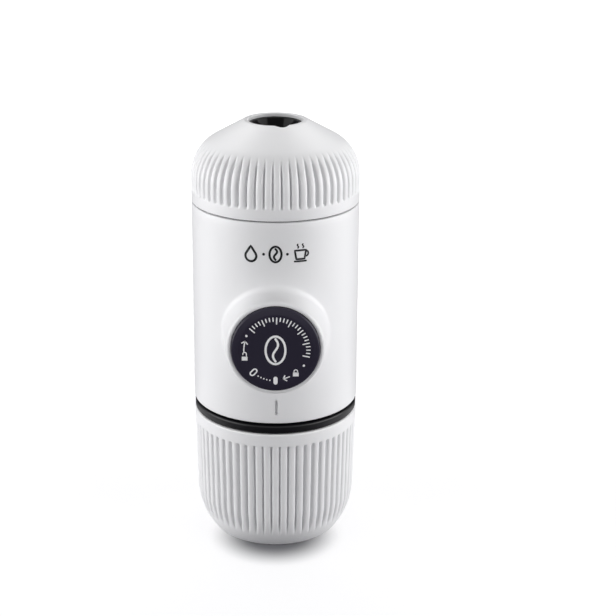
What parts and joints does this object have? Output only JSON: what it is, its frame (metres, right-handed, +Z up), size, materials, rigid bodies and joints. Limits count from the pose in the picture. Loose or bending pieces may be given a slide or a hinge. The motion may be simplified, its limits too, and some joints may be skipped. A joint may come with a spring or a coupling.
{
  "type": "hand-pumped espresso maker",
  "caption": "Portable espresso maker closed for travel: cup and water tank below, body with a cross-mounted pump and round knob, ribbed outlet head on top.",
  "frame": {"origin": "centre of the cup's foot, on the surface the maker stands on", "axes": "+Z up along the maker's axis; -Y towards the knob, along the pump; +X to the right seen from the knob's side"},
  "size_m": [0.0602, 0.0707, 0.156],
  "materials": {
    "white_shell": "smooth, moulded, satin",
    "charcoal_gloss": "glossy, moulded",
    "charcoal_satin": "satin, moulded",
    "black_plastic": "fine spark-eroded grain",
    "grey_plastic": "glass-filled, moulded",
    "steel": "brushed, drawn sheet",
    "screw_steel": "turned, nickel-plated",
    "spring_steel": "drawn wire",
    "silicone": "matt, translucent grey"
  },
  "bodies": {
    "body": {"body_shell": "white_shell", "base_plate": "black_plastic", "base_screws": "screw_steel", "intake_strainer": "black_plastic", "air_valve": "silicone", "inlet_pipe": "grey_plastic", "pump_head": "grey_plastic", "intake_valve": "silicone", "delivery_valve": "silicone", "delivery_pipe": "grey_plastic", "pump_cylinder": "grey_plastic", "pump_screws": "screw_steel", "rod_bush": "black_plastic", "chassis": "grey_plastic", "group_head": "black_plastic", "group_screws": "screw_steel", "shower_screen": "steel", "group_gasket": "silicone", "return_spring": "spring_steel"},
    "plunger": {"piston_rod": "grey_plastic", "piston_head": "black_plastic", "piston_seal": "silicone", "retaining_clip": "spring_steel"},
    "knob": {"knob_sleeve": "charcoal_satin", "knob_cap": "charcoal_satin"},
    "tank_gasket": {"tank_seal": "silicone"},
    "tank": {"water_tank": "charcoal_gloss"},
    "cup": {"cup": "white_shell"},
    "basket": {"filter_basket": "steel"},
    "scoop": {"scoop": "black_plastic"},
    "outlet_gasket": {"portafilter_seal": "silicone"},
    "outlet_head": {"portafilter": "black_plastic", "outlet_screen": "steel", "head_shell": "white_shell", "nozzle": "black_plastic", "valve_spring": "spring_steel"},
    "outlet_valve": {"outlet_valve": "silicone"}
  },
  "joints": [
    {"name": "piston_stroke", "type": "slide", "parent": "body", "child": "plunger", "axis": [0, -1, 0], "range_m": [0, 0.02], "deforming": ["return_spring"]},
    {"name": "knob_turn", "type": "hinge", "parent": "plunger", "child": "knob", "pos_m": [0, -0.0384, 0.0845], "axis": [0, -1, 0], "range_deg": [0, 45]},
    {"name": "tank_pull", "type": "slide", "parent": "body", "child": "tank_gasket", "axis": [0, 0, -1], "range_m": [0, 0.05]},
    {"name": "tank_turn", "type": "hinge", "parent": "tank_gasket", "child": "tank", "pos_m": [0, 0, 0.0557], "axis": [0, 0, -1], "range_deg": [0, 90]},
    {"name": "cup_pull", "type": "slide", "parent": "tank", "child": "cup", "axis": [0, 0, -1], "range_m": [0, 0.045]},
    {"name": "basket_lift", "type": "slide", "parent": "body", "child": "basket", "axis": [0, 0, 1], "range_m": [0, 0.03]},
    {"name": "scoop_lift", "type": "slide", "parent": "basket", "child": "scoop", "axis": [0, 0, 1], "range_m": [0, 0.025]},
    {"name": "outlet_head_lift", "type": "slide", "parent": "scoop", "child": "outlet_gasket", "axis": [0, 0, 1], "range_m": [0, 0.03]},
    {"name": "outlet_head_turn", "type": "hinge", "parent": "outlet_gasket", "child": "outlet_head", "pos_m": [0, 0, 0.1375], "axis": [0, 0, 1], "range_deg": [0, 90]},
    {"name": "outlet_valve_lift", "type": "slide", "parent": "outlet_head", "child": "outlet_valve", "axis": [0, 0, 1], "range_m": [0, 0.0012], "stiffness_N_per_m": 200, "springref_m": -0.002, "deforming": ["valve_spring"]}
  ]
}
